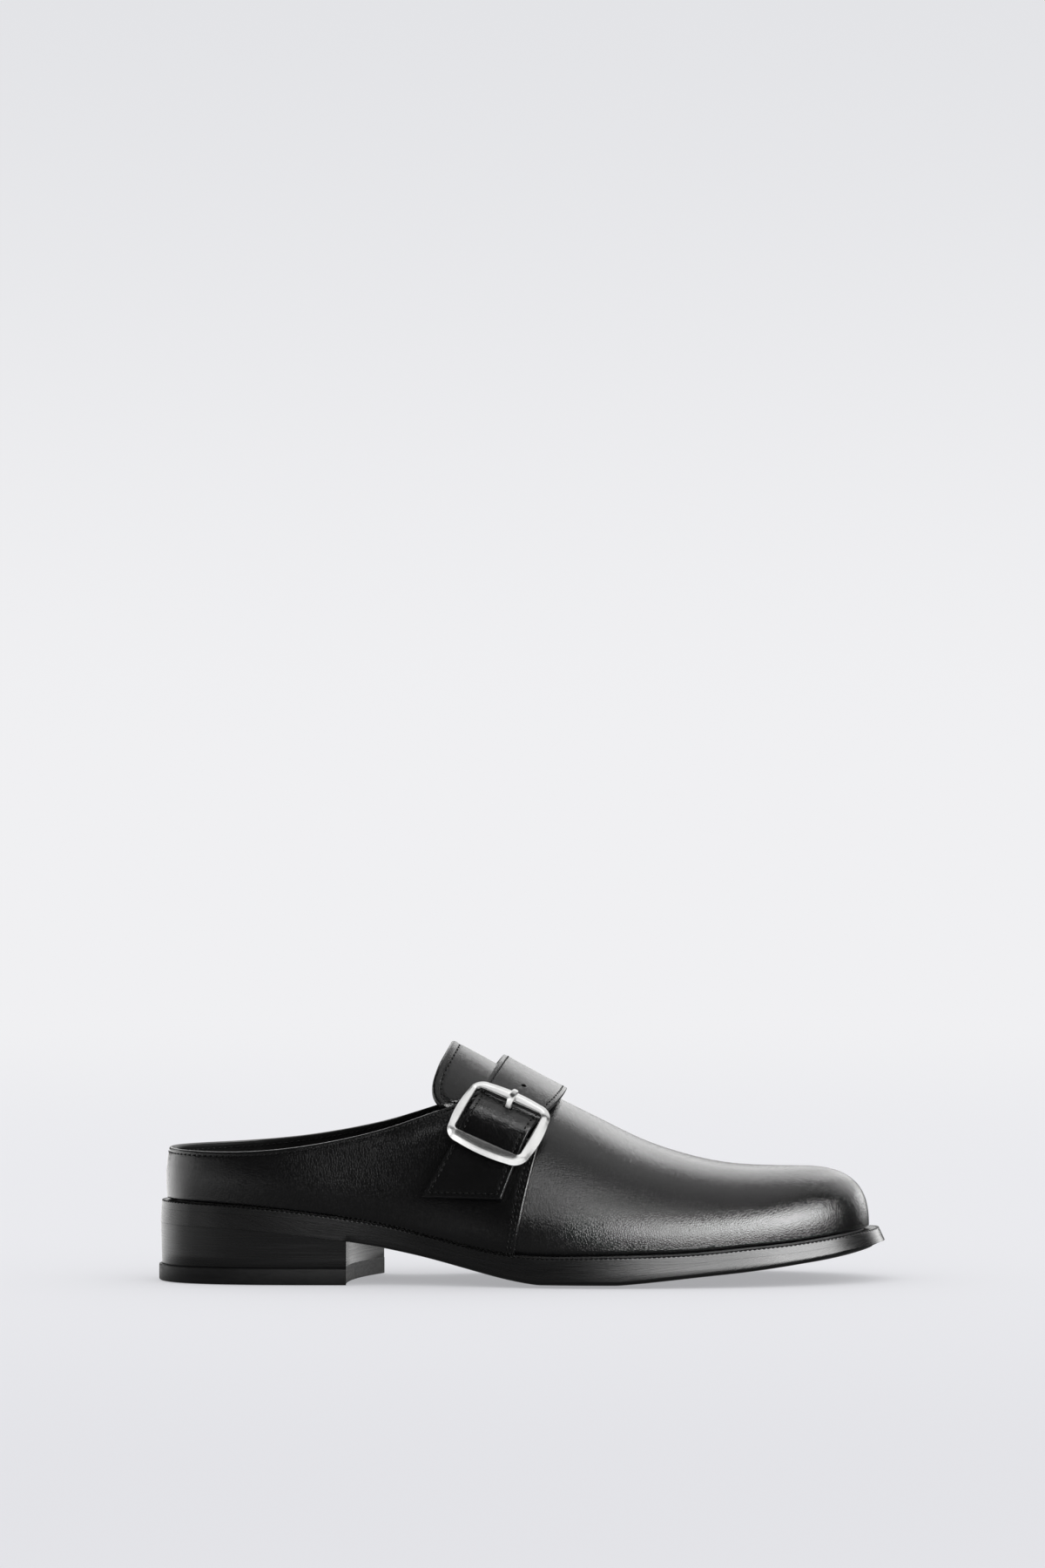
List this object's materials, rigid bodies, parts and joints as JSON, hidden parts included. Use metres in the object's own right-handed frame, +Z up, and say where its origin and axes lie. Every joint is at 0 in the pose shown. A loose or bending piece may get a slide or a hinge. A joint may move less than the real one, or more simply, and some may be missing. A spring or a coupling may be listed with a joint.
{
  "type": "buckle mule",
  "caption": "Backed leather mule for the right foot, with a plain round toe, quarters over the vamp, an instep strap through a metal buckle, a welted sole and a low stacked heel.",
  "frame": {"origin": "on the floor, under the middle of the shoe's footprint", "axes": "+X from heel to toe, +Y towards the inner side of the foot, +Z up from the floor"},
  "size_m": [0.269, 0.0964, 0.0886],
  "materials": {
    "sole_leather": "black edge-dressed sole leather, burnished, satin",
    "welt_leather": "black welt leather with wheel marks, satin",
    "heel_leather": "black stacked leather, burnished, satin",
    "lift_rubber": "black rubber, matt",
    "bed_leather": "black lining leather, matt",
    "upper_leather": "black smooth calf, fine grain, half gloss",
    "tongue_leather": "black smooth calf, fine grain, half gloss",
    "strap_leather": "black smooth calf, fine grain, half gloss",
    "frame_metal": "satin silver-coloured metal",
    "prong_metal": "satin silver-coloured metal"
  },
  "bodies": {
    "root": {"outsole": "sole_leather", "welt": "welt_leather", "heel": "heel_leather", "top_lift": "lift_rubber", "insole": "bed_leather", "upper": "upper_leather", "tongue": "tongue_leather", "strap": "strap_leather", "buckle_frame": "frame_metal", "buckle_prong": "prong_metal"}
  },
  "joints": []
}
